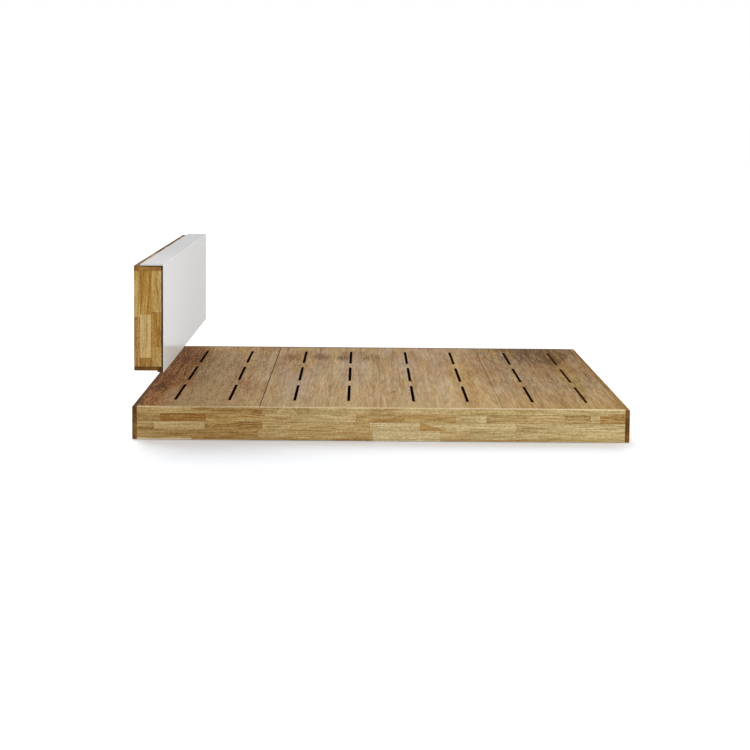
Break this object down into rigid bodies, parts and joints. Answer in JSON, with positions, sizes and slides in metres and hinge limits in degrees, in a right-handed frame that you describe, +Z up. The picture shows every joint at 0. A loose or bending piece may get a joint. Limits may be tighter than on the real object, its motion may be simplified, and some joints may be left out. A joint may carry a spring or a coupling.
{
  "type": "platform bed frame",
  "caption": "Low oak platform bed with a slotted deck, and a wall-hung storage headboard with a white lift-up lid.",
  "frame": {"origin": "on the floor, under the middle of the platform and the headboard together", "axes": "+X from the head to the foot, +Y across the bed away from the viewer's side, +Z up"},
  "size_m": [2.16, 1.55, 0.766],
  "materials": {
    "rail_oak": "oiled oak in glued staves",
    "deck_oak": "oiled oak, browner",
    "inner_wood": "planed, unfinished",
    "zinc_steel": "zinc plated",
    "felt_pads": "matt",
    "white_lacquer": "gloss white lacquer"
  },
  "bodies": {
    "bed": {"side_rail_near": "rail_oak", "side_rail_far": "rail_oak", "head_rail": "rail_oak", "foot_rail": "rail_oak", "headboard_top_board": "rail_oak", "headboard_bottom_board": "rail_oak", "headboard_end_panel_near": "rail_oak", "headboard_end_panel_far": "rail_oak", "hinge_strip": "rail_oak", "closing_strip": "rail_oak", "deck_panel_1": "deck_oak", "deck_panel_2": "deck_oak", "deck_panel_3": "deck_oak", "deck_panel_4": "deck_oak", "side_ledger_near": "inner_wood", "side_ledger_far": "inner_wood", "head_ledger": "inner_wood", "foot_ledger": "inner_wood", "corner_block_head_near": "inner_wood", "corner_block_head_far": "inner_wood", "corner_block_foot_near": "inner_wood", "corner_block_foot_far": "inner_wood", "cross_bearer_1": "inner_wood", "cross_bearer_2": "inner_wood", "cross_bearer_3": "inner_wood", "centre_leg_1": "inner_wood", "centre_leg_2": "inner_wood", "centre_leg_3": "inner_wood", "headboard_divider_1": "inner_wood", "headboard_divider_2": "inner_wood", "headboard_back_panel": "inner_wood", "hanging_cleat": "inner_wood", "wall_cleat": "inner_wood", "headboard_dowels": "inner_wood", "corner_bolts": "zinc_steel", "threaded_inserts": "zinc_steel", "ledger_screws": "zinc_steel", "leg_bolts": "zinc_steel", "hinge_case_leaves": "zinc_steel", "hinge_pins": "zinc_steel", "floor_glides": "felt_pads", "wall_bumpers": "felt_pads", "lid_bumpers": "felt_pads"},
    "lid": {"lid_front_panel": "white_lacquer", "lid_top_panel": "white_lacquer", "hinge_lid_leaves": "zinc_steel"}
  },
  "joints": [
    {"name": "lid_hinge", "type": "hinge", "parent": "bed", "child": "lid", "pos_m": [-1.046, 0, 0.76], "axis": [0, -1, 0], "range_deg": [0, 85]}
  ]
}
